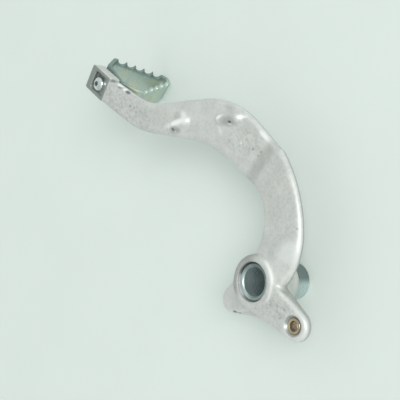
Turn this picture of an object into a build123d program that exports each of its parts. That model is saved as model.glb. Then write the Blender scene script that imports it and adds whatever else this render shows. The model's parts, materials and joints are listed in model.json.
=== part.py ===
from build123d import *
import os

# Rear brake pedal, in millimetres. The pivot axis is Z, with +Z towards the machine and
# z = 0 on the outer end of the pivot sleeve. +Y is up as fitted, and the toe points along -X.

# Pivot: sleeve pressed in the boss, with a seal seat round its inner end
bore_diameter = 16.0
sleeve_wall = 2.2
sleeve_length = 34.0
sleeve_chamfer = 0.6
boss_diameter = 30.6
boss_face_z = 36.0
boss_depth = 16.0
boss_edge_bevel = 1.8
neck_wall = 1.8
neck_start_z = 9.0
seal_seat_diameter = 21.8
seal_seat_depth = 2.6

# Arm: corners of its outer and inner edges seen along the pivot axis, each with its bend radius.
# Each run starts and ends beyond the crease between the two stretches of the arm.
lower_outer = [(15.6, 0.0, 0.0), (15.6, 30.0, 40.0), (-12.5, 58.2, 76.0), (-60.0, 67.6, 0.0)]
lower_inner = [(-12.5, 0.0, 0.0), (-12.5, 35.8, 28.0), (-60.0, 35.8, 0.0)]
upper_outer = [(-20.0, 60.9, 0.0), (-79.2, 66.3, 50.0)]
upper_inner = [(-20.0, 35.6, 0.0), (-74.0, 35.2, 63.0)]
heel_reach = 124.0
heel_height = 13.0
toe_reach = 178.0
toe_height = 4.0
heel_radius = 45.0
heel_width = 18.2
toe_width = 16.0

# The lower arm is level, and the upper arm rises to the toe block from a crease between them
arm_face_drop = 4.0
arm_thickness = 6.0
edge_round = 2.8
under_bevel = 2.4
crease_reach = 37.5

# Worn nubs raised on the sloping face: middle, heading, length and width
nub_height = 2.4
brow_nub = (-73.5, 54.2, 41.0, 19.0, 7.5)
drop_nub = (-99.2, 29.5, 55.0, 15.5, 7.0)

# Toe block: machined pad with a pocket for the screw head
pad_z = 54.5
pad_length = 20.6
block_thickness = 8.6
block_round = 1.0
pocket_length = 13.6
pocket_width = 11.4
pocket_depth = 2.9
pocket_round = 1.6
pocket_setback = 1.4

# Clevis lug behind the boss, with its bush
clevis_x = 34.8
clevis_y = 2.4
clevis_end_radius = 8.6
clevis_thickness = 6.4
lug_root_radius = 12.6
lug_root_drop = 2.4
lug_fall = 2.6
clevis_bore = 6.0
bush_wall = 1.3
bush_chamfer = 0.6
bush_seat_margin = 1.4
bush_seat_depth = 0.8
lug_round = 2.2
lug_bevel = 1.0

# Spring tab and web below the boss
tab_x = -11.0
tab_y = -25.5
tab_end_radius = 7.6
tab_thickness = 9.0
tab_face_z = 27.0
web_x = 15.0
web_y = -6.5
web_end_radius = 8.0
web_thickness = 4.4

# Toe step: toothed band bent to a kite-shaped loop
step_sheet = 2.4
step_height = 15.0
step_top_y = 14.4
step_neck_width = 21.4
step_width = 36.4
step_shoulder_z = 34.5
step_shoulder_bend = 4.0
step_neck_bend = 3.0
step_tip_bend = 5.4
step_tip_z = 0.2
step_tip_lean = 2.0
tooth_pitch = 6.3
tooth_depth = 2.6
tooth_gullet = 3.0

# Step fastener
screw_diameter = 5.0
screw_clearance = 0.25
screw_drop = 0.9
screw_head_diameter = 9.2
screw_head_height = 3.2
screw_head_bevel = 1.4
screw_socket = 3.0
screw_socket_depth = 1.8
screw_overrun = 1.2
nut_flats = 8.0
nut_height = 4.0
nut_chamfer = 0.5


def disc(x, y, radius, thickness, top_z):
    """Round plate under the plane top_z."""
    return Pos(x, y, top_z - thickness) * extrude(Circle(radius), thickness)


def hull(circles):
    """Outline pulled tight round (x, y, radius) circles."""
    rims = [Pos(x, y) * Circle(radius) for x, y, radius in circles]
    return make_hull([rim.edge() for rim in rims])


def plate(circles, thickness, top_z):
    """Plate under the plane top_z with the hull of the circles as its outline."""
    return Pos(0, 0, top_z - thickness) * extrude(hull(circles), thickness)


def round_top(solid, radius):
    """Solid with the rim of its highest face rounded."""
    return fillet(solid.faces().sort_by(Axis.Z)[-1].edges(), radius)


def bevel_top(solid, length):
    """Solid with the rim of its highest face bevelled."""
    return chamfer(solid.faces().sort_by(Axis.Z)[-1].edges(), length)


def bevel_under(solid, length):
    """Solid with the rim of its lowest face bevelled."""
    return chamfer(solid.faces().sort_by(Axis.Z)[0].edges(), length)


def arm_plate(outer, inner, thickness):
    """Plate under the plane z = 0 between two bent edges, rounded above and bevelled below."""
    sides = []
    for corners in (outer, inner):
        points = [(x, y) for x, y, bend in corners]
        bends = [bend for x, y, bend in corners]
        sides.append(FilletPolyline(*points, radius=bends[1:-1]))
    ends = [Line(sides[0] @ 0, sides[1] @ 0), Line(sides[0] @ 1, sides[1] @ 1)]
    outline = make_face([edge for line in sides + ends for edge in line.edges()])
    return bevel_under(round_top(extrude(outline, -thickness), edge_round), under_bevel)


def beyond(solid, spot, direction):
    """What lies past a plane through the spot, in that direction."""
    return split(solid, Plane(origin=spot, z_dir=direction), keep=Keep.TOP)


# Toe block's place, and the slope of the upper arm up to it
heel = Vector(-heel_reach, heel_height)
toe = Vector(-toe_reach, toe_height)
toe_along = (toe - heel).normalized()
pad_middle = toe - toe_along * (pad_length / 2)
arm_end = toe - toe_along * (pad_length - block_round)
arm_face_z = boss_face_z - arm_face_drop
crease = Vector(-crease_reach, 0, arm_face_z)
slope_x = Vector(arm_end.X, 0, pad_z) - crease
slope = Plane(origin=crease, x_dir=slope_x * -1, z_dir=(slope_x.Z, 0, -slope_x.X))


def on_slope(x, y, *rest):
    """Place in the sloping plane of a point seen along the pivot axis."""
    return (x + crease_reach) * slope_x.length / -slope_x.X, y, *rest


def nub(x, y, heading, length, width):
    """Rib standing out of the sloping face, rounded like the side of a capsule."""
    radius = (nub_height**2 + width**2 / 4) / (2 * nub_height)
    reach = (length - width) / 2
    rib = Rot(0, 90, 0) * Cylinder(radius, 2 * reach)
    for end in (-reach, reach):
        rib += Pos(end, 0, 0) * Sphere(radius)
    return slope * Pos(*on_slope(x, y, nub_height - radius)) * Rot(0, 0, heading) * rib


# Arm: the level stretch, and the sloping one to the toe block, their undersides flush at the crease
lower_arm = Pos(0, 0, arm_face_z) * arm_plate(lower_outer, lower_inner, arm_thickness)
lower_arm = beyond(lower_arm, crease, (1, 0, 0))
toe_across = toe_along.rotate(Axis.Z, -90)
edges = []
for edge, hand in ((upper_outer, 1), (upper_inner, -1)):
    heel_corner = heel + toe_across * (hand * heel_width / 2)
    toe_corner = toe + toe_across * (hand * toe_width / 2)
    heel_bend = heel_radius - hand * heel_width / 2
    ending = [(heel_corner.X, heel_corner.Y, heel_bend), (toe_corner.X, toe_corner.Y, 0.0)]
    edges.append([on_slope(*corner) for corner in edge + ending])
upper_arm = arm_plate(*edges, arm_thickness * slope.z_dir.Z)
upper_arm = beyond(slope * upper_arm, crease, (-1, 0, 0))
upper_arm = beyond(upper_arm, arm_end, toe_along * -1)

# Toe block, on the axis of the arm's last run
pad_frame = Plane(
    origin=(pad_middle.X, pad_middle.Y, pad_z),
    x_dir=(toe_along.X, toe_along.Y, 0),
    z_dir=(0, 0, 1),
)
block = extrude(RectangleRounded(pad_length, toe_width, block_round), -block_thickness)
screw_axis = Pos(pad_middle.X, pad_middle.Y - screw_drop, 0)
hole_depth = block_thickness + 2 * step_sheet
screw_hole = screw_axis * disc(0, 0, screw_diameter / 2 + screw_clearance, hole_depth, pad_z)
pocket = extrude(RectangleRounded(pocket_length, pocket_width, pocket_round), -pocket_depth)
pocket = pad_frame * Pos(-pocket_setback, 0, 0) * pocket
plate_z = pad_z - block_thickness

# Boss and neck
sleeve_diameter = bore_diameter + 2 * sleeve_wall
boss_base_z = boss_face_z - boss_depth
boss = bevel_top(disc(0, 0, boss_diameter / 2, boss_depth, boss_face_z), boss_edge_bevel)
neck = disc(0, 0, sleeve_diameter / 2 + neck_wall, boss_base_z - neck_start_z, boss_base_z)

# Clevis lug, its face falling from the boss to the bush
bush_diameter = clevis_bore + 2 * bush_wall
clevis_rim = (clevis_x, clevis_y, clevis_end_radius)
lug_rims = [(0, -lug_root_drop, lug_root_radius), clevis_rim]
lug_base_z = arm_face_z - clevis_thickness
lug_blank_z = boss_face_z + clevis_thickness
lug_run = clevis_x - boss_diameter / 2
lug_face = Plane(
    origin=(clevis_x, clevis_y, arm_face_z),
    x_dir=(lug_run, 0, -lug_fall),
    z_dir=(lug_fall, 0, lug_run),
)
clevis_lug = bevel_under(plate(lug_rims, lug_blank_z - lug_base_z, lug_blank_z), lug_bevel)
clevis_lug = round_top(split(clevis_lug, lug_face, keep=Keep.BOTTOM), lug_round)
clevis_lug = split(clevis_lug, Plane.XY.offset(boss_face_z), keep=Keep.BOTTOM)

# Spring tab and web
boss_rim = (0, 0, boss_diameter / 2)
tab_rim = (tab_x, tab_y, tab_end_radius)
web_rim = (web_x, web_y, web_end_radius)
spring_tab = round_top(plate([boss_rim, tab_rim], tab_thickness, tab_face_z), lug_round)
spring_tab = bevel_under(spring_tab, lug_bevel)
web = plate([boss_rim, tab_rim, web_rim], web_thickness, tab_face_z - tab_thickness + web_thickness)
web = bevel_under(web, lug_bevel)

# The casting in one piece, then its bores, seats and pocket
pedal_arm = lower_arm + upper_arm + nub(*brow_nub) + nub(*drop_nub) + pad_frame * block
pedal_arm = pedal_arm + boss + neck + clevis_lug + spring_tab + web
pedal_arm -= disc(0, 0, sleeve_diameter / 2, boss_face_z, boss_face_z)
pedal_arm -= disc(0, 0, seal_seat_diameter / 2, seal_seat_depth, boss_face_z)
pedal_arm -= pocket + screw_hole
pedal_arm -= disc(clevis_x, clevis_y, bush_diameter / 2, clevis_thickness, arm_face_z)
bush_top_z = arm_face_z - bush_seat_depth
bush_seat_radius = bush_diameter / 2 + bush_seat_margin
pedal_arm -= disc(clevis_x, clevis_y, bush_seat_radius, lug_blank_z - bush_top_z, lug_blank_z)

# Pivot sleeve and clevis bush
pivot_sleeve = disc(0, 0, sleeve_diameter / 2, sleeve_length, sleeve_length)
pivot_sleeve -= disc(0, 0, bore_diameter / 2, sleeve_length, sleeve_length)
sleeve_mouths = pivot_sleeve.edges().filter_by(GeomType.CIRCLE).sort_by(SortBy.RADIUS)[:2]
pivot_sleeve = chamfer(sleeve_mouths, sleeve_chamfer)
bush_length = bush_top_z - lug_base_z
clevis_bush = disc(clevis_x, clevis_y, bush_diameter / 2, bush_length, bush_top_z)
clevis_bush -= disc(clevis_x, clevis_y, clevis_bore / 2, bush_length, bush_top_z)
bush_mouth = clevis_bush.faces().sort_by(Axis.Z)[-1].edges().sort_by(SortBy.RADIUS)[0]
clevis_bush = chamfer(bush_mouth, bush_chamfer)

# Toe step: closed band, seen from above with x along the tread and y outwards from the block
step_frame = Plane(
    origin=(pad_middle.X, step_top_y - step_height, plate_z),
    x_dir=(1, 0, 0),
    z_dir=(0, 1, 0),
)
step_rims = [(-step_tip_lean, plate_z - step_tip_z - step_tip_bend, step_tip_bend)]
for side in (-1, 1):
    neck_x = side * (step_neck_width / 2 - step_neck_bend)
    shoulder_x = side * (step_width / 2 - step_shoulder_bend)
    step_rims.append((neck_x, step_neck_bend, step_neck_bend))
    step_rims.append((shoulder_x, plate_z - step_shoulder_z, step_shoulder_bend))
band = hull(step_rims)
toe_step = extrude(band - offset(band, -step_sheet), step_height)
cutter_length = 4 * step_sheet
for leg in band.edges().filter_by(GeomType.LINE).sort_by(Edge.length)[-2:]:
    along = leg.tangent_at(0.5)
    across = Vector(0, 0, 1).cross(along)
    gullet_lift = Vector(0, 0, step_height + tooth_gullet - tooth_depth)
    teeth = round(leg.length / tooth_pitch)
    for tooth in range(teeth):
        gullet_at = leg.position_at((tooth + 0.5) / teeth) + gullet_lift
        gullet = Plane(gullet_at, x_dir=along, z_dir=across) * Cylinder(tooth_gullet, cutter_length)
        toe_step -= gullet
toe_step = step_frame * toe_step - screw_hole

# Screw in the pocket and nut inside the loop
head_base_z = pad_z - pocket_depth
head_top_z = head_base_z + screw_head_height
nut_face_z = plate_z - step_sheet
shank_end_z = nut_face_z - nut_height - screw_overrun
screw_head = disc(0, 0, screw_head_diameter / 2, screw_head_height, head_top_z)
step_screw = bevel_top(screw_head, screw_head_bevel)
step_screw += disc(0, 0, screw_diameter / 2, head_base_z - shank_end_z, head_base_z)
socket = extrude(RegularPolygon(screw_socket / 2, 6, major_radius=False), screw_socket_depth)
step_screw -= Pos(0, 0, head_top_z - screw_socket_depth) * socket
step_screw = screw_axis * step_screw
hexagon = RegularPolygon(nut_flats / 2, 6, major_radius=False)
turned_blank = disc(0, 0, hexagon.edges()[0].length, nut_height, nut_face_z)
turned_blank = chamfer(turned_blank.edges().filter_by(GeomType.CIRCLE), nut_chamfer)
step_nut = Pos(0, 0, nut_face_z - nut_height) * extrude(hexagon, nut_height) & turned_blank
step_nut = screw_axis * (step_nut - disc(0, 0, screw_diameter / 2, nut_height, nut_face_z))

nodes = {
    "pedal_arm": pedal_arm,
    "pivot_sleeve": pivot_sleeve,
    "clevis_bush": clevis_bush,
    "toe_step": toe_step,
    "step_screw": step_screw,
    "step_nut": step_nut,
}
os.makedirs("parts", exist_ok=True)
for name, solid in nodes.items():
    export_step(solid, f"parts/{name}.step")
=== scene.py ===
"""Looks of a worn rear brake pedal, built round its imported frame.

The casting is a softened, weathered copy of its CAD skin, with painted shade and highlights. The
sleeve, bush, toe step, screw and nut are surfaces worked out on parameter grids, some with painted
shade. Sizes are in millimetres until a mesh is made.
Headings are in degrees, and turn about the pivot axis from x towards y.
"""
import json
import logging
import math
from dataclasses import dataclass
from enum import Enum
from typing import Optional, Union

import bmesh
import bpy
import numpy as np
from mathutils import Matrix, Vector


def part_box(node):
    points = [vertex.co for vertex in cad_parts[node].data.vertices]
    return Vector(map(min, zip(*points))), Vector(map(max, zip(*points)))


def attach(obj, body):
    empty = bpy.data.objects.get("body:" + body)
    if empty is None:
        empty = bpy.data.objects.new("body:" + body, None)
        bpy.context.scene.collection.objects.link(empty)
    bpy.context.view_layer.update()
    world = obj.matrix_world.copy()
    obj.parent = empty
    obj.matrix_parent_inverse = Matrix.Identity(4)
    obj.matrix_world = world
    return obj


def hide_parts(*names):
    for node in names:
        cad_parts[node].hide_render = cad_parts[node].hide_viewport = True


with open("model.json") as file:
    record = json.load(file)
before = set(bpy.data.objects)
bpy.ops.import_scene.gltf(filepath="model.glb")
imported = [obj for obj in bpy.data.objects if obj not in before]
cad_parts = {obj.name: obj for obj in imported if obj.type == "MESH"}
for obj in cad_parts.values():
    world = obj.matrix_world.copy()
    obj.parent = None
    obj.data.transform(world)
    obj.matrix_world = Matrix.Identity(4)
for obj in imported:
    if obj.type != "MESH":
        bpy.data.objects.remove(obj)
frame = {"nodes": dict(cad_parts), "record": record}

MM = 0.001
BODY = "root"
IMAGE_SIDE = 400
WELD_GAP = 0.0001
UPPER_SLOPE = (0.0, 0.5)
SPOT_EDGE = 1.4
WAVE_SEED = 7
# The Mix node has a socket of each name for every kind of value, so its colours go by number.
MIX_FIRST, MIX_SECOND, MIX_RESULT = 6, 7, 2

Array = np.ndarray
Mesh = bpy.types.Mesh
Piece = bpy.types.Object
Material = bpy.types.Material
Socket = bpy.types.NodeSocket
Pair = tuple[float, float]
Triple = tuple[float, float, float]
Colour = tuple[float, float, float]
Value = Union[Socket, float, Colour]
log = logging.getLogger("pedal")


class Mark(Enum):
    """Kinds of mark that a piece carries, each a layer painted on its points; the grime layer also
    holds painted shade, the polish layer painted highlights, and the pit layer one painted shadow.
    """

    MACHINED = "machined"
    POLISH_AND_HIGHLIGHT = "polish_and_highlight"
    GRIME_AND_SHADE = "grime_and_shade"
    PIT_AND_SHADOW = "pit_and_shadow"
    SCUFFED = "scuffed"


Covers = list[tuple[Mark, Array]]
Layers = dict[Mark, Array]


def node_box(node: str) -> tuple[Array, Array]:
    """Lowest and highest corner of a CAD node, in millimetres."""
    low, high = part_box(node)
    return np.array(low) / MM, np.array(high) / MM


def smooth_step(value: Array, start: float, end: float) -> Array:
    """Cubic ease from 0 at start to 1 at end."""
    t = np.clip((value - start) / (end - start), 0.0, 1.0)
    return t * t * (3.0 - 2.0 * t)


def within(excess: Array, blur: float = 0.4) -> Array:
    """Cover of an outline from the distance past it: 1 inside, 0 outside, blurred at the edge."""
    return 1.0 - smooth_step(excess, -blur, blur)


def along_across(points: Array, place: Pair, heading: float) -> tuple[Array, Array]:
    """Distances along and across a heading: the offset from a place, turned back by the heading.

    Args:
        points: The points.
        place: Place in x and y that both distances are taken from.
        heading: The heading.

    Returns:
        Distance of each point along the heading, and across it.
    """
    turn = math.radians(heading)
    dx, dy = points[:, 0] - place[0], points[:, 1] - place[1]
    along = dx * math.cos(turn) + dy * math.sin(turn)
    return along, dy * math.cos(turn) - dx * math.sin(turn)


def facing(points: Array, reach: Union[Array, float], heading: float, fade: Pair) -> Array:
    """Cover of a stretch round the pivot axis, by the cosine of the angle from its middle.

    Args:
        points: The points.
        reach: Their distance from the axis.
        heading: Heading of the stretch's middle.
        fade: Cosine at which the stretch begins, and at which it is full.

    Returns:
        Cover of each point, from 0 to 1.
    """
    along, _ = along_across(points, (0.0, 0.0), heading)
    return smooth_step(along / reach, *fade)


def weld(mesh: Mesh, gap: float, slivers: bool = False) -> None:
    """Merges the points of a mesh that lie closer together than a gap.

    Args:
        mesh: The mesh, which is changed.
        gap: The gap.
        slivers: Whether faces that have shrunk to nothing go as well.
    """
    shell = bmesh.new()
    shell.from_mesh(mesh)
    bmesh.ops.remove_doubles(shell, verts=shell.verts, dist=gap * MM)
    if slivers:
        bmesh.ops.dissolve_degenerate(shell, edges=shell.edges, dist=gap * MM)
    shell.to_mesh(mesh)
    shell.free()


def signed_volume(points: Array, faces: Array) -> float:
    """Six times the volume inside a closed mesh of quads, negative if it is inside out."""
    a, b, c, d = (points[faces[:, k]] for k in range(4))
    return float(np.sum(a * np.cross(b, c)) + np.sum(a * np.cross(c, d)))


def shaded(name: str, mesh: Mesh, crease: float) -> Piece:
    """Links a mesh as a smooth object whose edges past the crease angle stay sharp.

    Args:
        name: Name of the piece.
        mesh: Its mesh.
        crease: Angle in degrees.

    Returns:
        The linked object.
    """
    mesh.polygons.foreach_set("use_smooth", np.ones(len(mesh.polygons), dtype=bool))
    mesh.set_sharp_from_angle(angle=math.radians(crease))
    piece = bpy.data.objects.new(name, mesh)
    bpy.context.scene.collection.objects.link(piece)
    return piece


def grid_piece(name: str, grid: Array, crease: float = 34.0) -> Piece:
    """Makes a closed, smooth-shaded piece from a grid of points.

    Each point is joined to the next one along both parameters. The second parameter runs round
    and closes on itself, and so does the first; rows that shrink to a pole are merged there.

    Args:
        name: Name of the piece.
        grid: Points in millimetres, as rows, columns and three coordinates.
        crease: Angle in degrees past which an edge stays sharp.

    Returns:
        The new object, at the origin.
    """
    rows, columns = grid.shape[:2]
    index = np.arange(rows * columns).reshape(rows, columns)
    right = np.roll(index, -1, axis=1)
    corners = [index, right, np.roll(right, -1, axis=0), np.roll(index, -1, axis=0)]
    faces = np.stack(corners, axis=-1).reshape(-1, 4)
    points = grid.reshape(-1, 3) * MM
    if signed_volume(points, faces) < 0.0:
        faces = faces[:, ::-1]
    mesh = bpy.data.meshes.new(name)
    mesh.from_pydata(points.tolist(), [], faces.tolist())
    weld(mesh, WELD_GAP, slivers=True)
    return shaded(name, mesh, crease)


def round_rows(radii: Array, heights: Array, middle: Array) -> Array:
    """Grid of points round an upright axis.

    A point of row i and column j stands at height i, at radius (i, j) and at the angle that is
    j parts of a full turn.

    Args:
        radii: Radius at each row and column.
        heights: Height of each row.
        middle: Place of the axis in x and y.

    Returns:
        The grid of points.
    """
    angles = np.linspace(0.0, math.tau, radii.shape[1], endpoint=False)
    x = middle[0] + radii * np.cos(angles)
    y = middle[1] + radii * np.sin(angles)
    z = np.broadcast_to(heights[:, None], radii.shape)
    return np.stack([x, y, z], axis=-1)


def turned_piece(name: str, profile: Array, middle: Array, columns: int) -> Piece:
    """Piece with a closed profile of radius and height, carried round an upright axis."""
    radii = np.repeat(profile[:, :1], columns, axis=1)
    return grid_piece(name, round_rows(radii, profile[:, 1], middle))


def hexagon_radius(flats: float, columns: int) -> Array:
    """Distance from the middle to the rim of a hexagon, at even angles round it.

    It is half the width over the cosine of the angle from the nearest flat's middle.

    Args:
        flats: Width across the flats.
        columns: Number of angles.

    Returns:
        Distance at each angle.
    """
    angles = np.linspace(0.0, math.tau, columns, endpoint=False)
    sector = math.tau / 6.0
    return flats / 2.0 / np.cos((angles + sector / 2.0) % sector - sector / 2.0)


def vectors_of(mesh: Mesh, kind: str) -> Array:
    """Reads one vector for each point of a mesh.

    Args:
        mesh: The mesh.
        kind: Which vectors: co for the places in metres, or normal.

    Returns:
        The vectors, a row for each point.
    """
    flat = np.empty(3 * len(mesh.vertices), dtype=np.float32)
    mesh.vertices.foreach_get(kind, flat)
    return flat.reshape(-1, 3).astype(float)


def points_of(mesh: Mesh) -> Array:
    """Points of a mesh, in millimetres."""
    return vectors_of(mesh, "co") / MM


def paint(mesh: Mesh, mark: Mark, values: Array) -> None:
    """Paints a layer of marks on a mesh, one value for each of its points."""
    layer = mesh.attributes.new(mark.value, "FLOAT", "POINT")
    layer.data.foreach_set("value", values.astype(np.float32))


class Graph:
    """Node tree of one material, with a short call for each node that the finishes share."""

    def __init__(self, name: str) -> None:
        """Starts a material with its shader and its Object coordinates.

        Args:
            name: Name of the material.
        """
        self.material = bpy.data.materials.new(name)
        self.material.use_nodes = True
        self.tree = self.material.node_tree
        self.shader = self.tree.nodes["Principled BSDF"]
        self.place = self.node("TexCoord", {}).outputs["Object"]

    def fill(self, socket: Socket, value: Value) -> None:
        """Links a socket to another one, or sets it.

        Args:
            socket: The socket to fill.
            value: Another socket, a number or a colour.
        """
        if isinstance(value, bpy.types.NodeSocket):
            self.tree.links.new(value, socket)
        elif isinstance(value, tuple):
            socket.default_value = (*value, 1.0)
        else:
            socket.default_value = value

    def node(
        self, kind: str, inputs: dict[Union[str, int], Value], **settings: str
    ) -> bpy.types.Node:
        """Adds a node.

        Args:
            kind: Kind of node.
            inputs: What fills its sockets, by their names or numbers.
            settings: Its other settings.

        Returns:
            The node.
        """
        node = self.tree.nodes.new("ShaderNode" + kind)
        for name, setting in settings.items():
            setattr(node, name, setting)
        for key, value in inputs.items():
            self.fill(node.inputs[key], value)
        return node

    def noise(
        self, size: float, detail: float = 3.0, stretch: Triple = (1.0, 1.0, 1.0)
    ) -> Socket:
        """Cloudy noise, from 0 to 1.

        Args:
            size: Size of its blots in millimetres.
            detail: Number of finer layers.
            stretch: Times that the pattern repeats along each axis, against the others.

        Returns:
            The noise value's socket.
        """
        mapping = self.node("Mapping", {"Vector": self.place})
        mapping.inputs["Scale"].default_value = stretch
        place = mapping.outputs["Vector"]
        inputs = {"Vector": place, "Scale": 1.0 / (size * MM), "Detail": detail}
        return self.node("TexNoise", inputs).outputs["Fac"]

    def ease(
        self, value: Socket, start: float, end: float, low: float = 0.0, high: float = 1.0
    ) -> Socket:
        """Smooth, clamped map of a value, from low at the start to high at the end."""
        inputs = {"Value": value, "From Min": start, "From Max": end, "To Min": low, "To Max": high}
        return self.node("MapRange", inputs, interpolation_type="SMOOTHSTEP").outputs["Result"]

    def product(self, first: Value, second: Value) -> Socket:
        """First value times the second."""
        return self.node("Math", {0: first, 1: second}, operation="MULTIPLY").outputs["Value"]

    def less(self, first: Value, second: Value) -> Socket:
        """First value less the second."""
        return self.node("Math", {0: first, 1: second}, operation="SUBTRACT").outputs["Value"]

    def blend(self, share: Socket, first: Value, second: Value) -> Socket:
        """Colour that goes from the first to the second with the share."""
        inputs = {"Factor": share, MIX_FIRST: first, MIX_SECOND: second}
        return self.node("Mix", inputs, data_type="RGBA").outputs[MIX_RESULT]

    def layer(self, mark: Mark) -> Socket:
        """Painted layer of a mark."""
        return self.node("Attribute", {}, attribute_name=mark.value).outputs["Fac"]

    def relief(self, height: Socket, depth: float, normal: Optional[Socket] = None) -> Socket:
        """Bump from a height value.

        Args:
            height: Height from 0 to 1.
            depth: Depth in millimetres that it stands for.
            normal: Bump to build on, if any.

        Returns:
            The bumped normal's socket.
        """
        node = self.node("Bump", {"Height": height, "Distance": depth * MM})
        if normal is not None:
            self.fill(node.inputs["Normal"], normal)
        return node.outputs["Normal"]

    def finish(
        self, colour: Socket, roughness: Socket, normal: Socket, metallic: Value
    ) -> Material:
        """Joins the parts of a finish to the shader.

        Args:
            colour: Base colour.
            roughness: Roughness.
            normal: Bumped normal.
            metallic: Share of the surface that reflects as bare metal.

        Returns:
            The finished material.
        """
        self.fill(self.shader.inputs["Base Color"], colour)
        self.fill(self.shader.inputs["Roughness"], roughness)
        self.fill(self.shader.inputs["Normal"], normal)
        self.fill(self.shader.inputs["Metallic"], metallic)
        return self.material


@dataclass(frozen=True)
class CastSkin:
    """Blasted cast aluminium: pale and grainy, bright where worn and where highlights are painted,
    dull where machined, dark where grime and shade are painted.
    """

    name: str = "cast_skin"
    pale: Colour = (0.765, 0.765, 0.742)
    dull: Colour = (0.70, 0.70, 0.678)
    machined: Colour = (0.38, 0.41, 0.39)
    polish_and_highlight: Colour = (0.95, 0.955, 0.95)
    grime_and_shade: Colour = (0.060, 0.064, 0.060)
    blot: float = 9.0
    blot_range: Pair = (0.35, 0.68)
    fleck: float = 1.8
    fleck_range: Pair = (0.40, 0.80)
    fleck_share: float = 0.24
    scuff_range: Pair = (0.36, 0.64)
    grain: float = 0.45
    grain_detail: float = 4.0
    grain_range: Pair = (0.50, 0.80)
    grain_share: float = 0.16
    grain_depth: float = 0.035
    dark_range: Pair = (0.25, 0.6)
    dark_share: Pair = (0.7, 1.0)
    gloss_range: Pair = (0.3, 0.7)
    roughness: Pair = (0.42, 0.60)
    polished_gloss: float = 0.14
    machined_gloss: float = 0.12
    metallic: float = 0.55
    polish_and_highlight_scatter: float = 0.40

    def material(self) -> Material:
        """Lays blots, flecks and grain over the whole skin, then each painted layer over them.

        Returns:
            The finished material.
        """
        graph = Graph(self.name)
        blots = graph.ease(graph.noise(self.blot), *self.blot_range)
        grain = graph.noise(self.grain, self.grain_detail)
        flecks = graph.noise(self.fleck)
        machined, polish_and_highlight = graph.layer(Mark.MACHINED), graph.layer(Mark.POLISH_AND_HIGHLIGHT)
        scuffs = graph.ease(flecks, *self.scuff_range)
        dark_mottle = graph.ease(grain, *self.dark_range, *self.dark_share)
        colour = graph.blend(blots, self.dull, self.pale)
        for share, tint in (
            (graph.ease(flecks, *self.fleck_range, high=self.fleck_share), self.machined),
            (graph.ease(grain, *self.grain_range, high=self.grain_share), self.machined),
            (graph.product(graph.layer(Mark.SCUFFED), scuffs), self.grime_and_shade),
            (machined, self.machined),
            # Wear and painted highlights lighten the skin; grime and painted shade darken it.
            (polish_and_highlight, self.polish_and_highlight),
            (graph.product(graph.layer(Mark.GRIME_AND_SHADE), dark_mottle), self.grime_and_shade),
            (graph.layer(Mark.PIT_AND_SHADOW), self.grime_and_shade),
        ):
            colour = graph.blend(share, colour, tint)
        roughness = graph.ease(grain, *self.gloss_range, *self.roughness)
        roughness = graph.less(roughness, graph.product(polish_and_highlight, self.polished_gloss))
        roughness = graph.less(roughness, graph.product(machined, self.machined_gloss))
        rough_grain = graph.product(grain, graph.less(1.0, machined))
        normal = graph.relief(rough_grain, self.grain_depth)
        normal = graph.relief(blots, 2.0 * self.grain_depth, normal)
        # Less metallic where polish or painted highlights lie, so that they show paler.
        metallic = graph.less(self.metallic, graph.product(polish_and_highlight, self.polish_and_highlight_scatter))
        return graph.finish(colour, roughness, normal, metallic)


@dataclass(frozen=True)
class PlatedMetal:
    """Plated or bare metal: a tinted film, clouded, with lines left by the tool along one axis."""

    name: str
    film: Colour
    cloud: Colour
    dark: Colour
    stretch: Triple
    line: float = 0.8
    line_detail: float = 2.0
    line_range: Pair = (0.48, 0.72)
    line_share: float = 0.2
    line_depth: float = 0.006
    blot: float = 10.0
    blot_range: Pair = (0.38, 0.66)
    gloss_range: Pair = (0.3, 0.7)
    gloss_spread: Pair = (-0.06, 0.12)
    roughness: float = 0.30
    metallic: float = 0.8

    def material(self) -> Material:
        """Tints the film by clouds, painted shade and tool lines, and roughens it along the lines.

        Returns:
            The finished material.
        """
        graph = Graph(self.name)
        lines = graph.noise(self.line, self.line_detail, self.stretch)
        clouds = graph.ease(graph.noise(self.blot), *self.blot_range)
        colour = graph.blend(clouds, self.film, self.cloud)
        # Painted shade, from the piece's darkened layer.
        colour = graph.blend(graph.layer(Mark.GRIME_AND_SHADE), colour, self.dark)
        scored = graph.ease(lines, *self.line_range, high=self.line_share)
        colour = graph.blend(scored, colour, self.dark)
        low, high = (self.roughness + spread for spread in self.gloss_spread)
        roughness = graph.ease(lines, *self.gloss_range, low, high)
        return graph.finish(colour, roughness, graph.relief(lines, self.line_depth), self.metallic)


@dataclass(frozen=True)
class FloorSheet:
    """Pale matt sheet, very slightly clouded."""

    name: str = "floor_sheet"
    colour: Colour = (0.80, 0.86, 0.825)
    cloud_share: float = 0.985
    cloud: float = 60.0
    cloud_detail: float = 2.0
    grain: float = 0.8
    grain_depth: float = 0.01
    noise_range: Pair = (0.3, 0.7)
    roughness: Pair = (0.75, 0.9)

    def material(self) -> Material:
        """Clouds the colour, and roughens the sheet by its grain.

        Returns:
            The finished material.
        """
        graph = Graph(self.name)
        clouds = graph.ease(graph.noise(self.cloud, self.cloud_detail), *self.noise_range)
        tint = tuple(self.cloud_share * part for part in self.colour)
        colour = graph.blend(clouds, self.colour, tint)
        grain = graph.noise(self.grain)
        roughness = graph.ease(grain, *self.noise_range, *self.roughness)
        return graph.finish(colour, roughness, graph.relief(grain, self.grain_depth), 0.0)


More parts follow.
